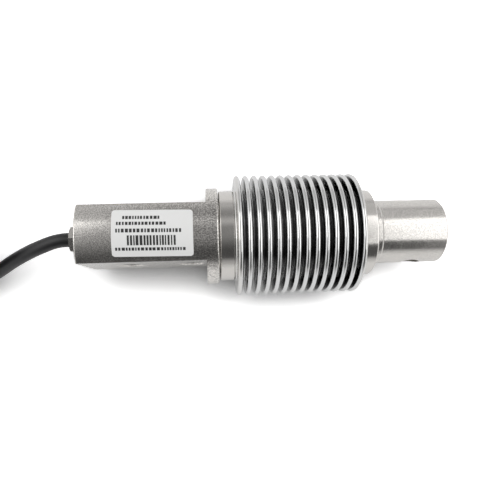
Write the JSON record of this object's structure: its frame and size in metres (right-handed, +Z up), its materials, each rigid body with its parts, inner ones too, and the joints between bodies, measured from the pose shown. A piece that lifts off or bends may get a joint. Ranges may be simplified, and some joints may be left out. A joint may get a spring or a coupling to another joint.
{
  "type": "bellows load cell",
  "caption": "Bending-beam force sensor: a flat-sided steel head, a sealing metal bellows and a round nose with a cross hole, with its cable in a hank.",
  "frame": {"origin": "on the surface the cell lies on, midway between the gland screw's outer face and the nose's end face, under the cell's axis", "axes": "+X from the cable end to the nose, +Z up through the nameplate, the head's flats face +Y and -Y, which is also the load direction"},
  "size_m": [0.29, 0.0479, 0.0406],
  "materials": {
    "blasted_steel": "bead blasted, fine grain",
    "bellows_steel": "bright drawn sheet",
    "turned_steel": "fine turning lines",
    "gland_steel": "dark satin",
    "gauge_foil": "amber film",
    "copper": "enamelled copper",
    "circuit_board": "green solder mask",
    "resistor_body": "matt",
    "seal_rubber": "matt",
    "nameplate_white": null,
    "cable_jacket": "satin black",
    "core_red": "satin",
    "core_black": "satin",
    "core_green": "satin",
    "core_white": "satin",
    "tinned_copper": "tinned strands",
    "tie_nylon": "satin black"
  },
  "bodies": {
    "root": {"measuring_body": "blasted_steel", "bellows": "bellows_steel", "head_ring": "turned_steel", "nose_ring": "turned_steel", "strain_gauge_1": "gauge_foil", "strain_gauge_2": "gauge_foil", "strain_gauge_3": "gauge_foil", "strain_gauge_4": "gauge_foil", "solder_strip": "copper", "gauge_wire_1": "copper", "gauge_wire_2": "copper", "gauge_wire_3": "copper", "gauge_wire_4": "copper", "compensation_board": "circuit_board", "board_resistor_1": "resistor_body", "board_resistor_2": "resistor_body", "board_resistor_3": "resistor_body", "gland_bush": "turned_steel", "gland_washer": "turned_steel", "gland_seal": "seal_rubber", "gland_screw": "gland_steel", "nameplate": "nameplate_white", "cable": "cable_jacket", "cable_hank": "cable_jacket", "cable_tail": "cable_jacket", "core_red": "core_red", "core_black": "core_black", "core_green": "core_green", "core_white": "core_white", "shield_drain": "tinned_copper", "hank_tie_1": "tie_nylon", "hank_tie_2": "tie_nylon"}
  },
  "joints": []
}
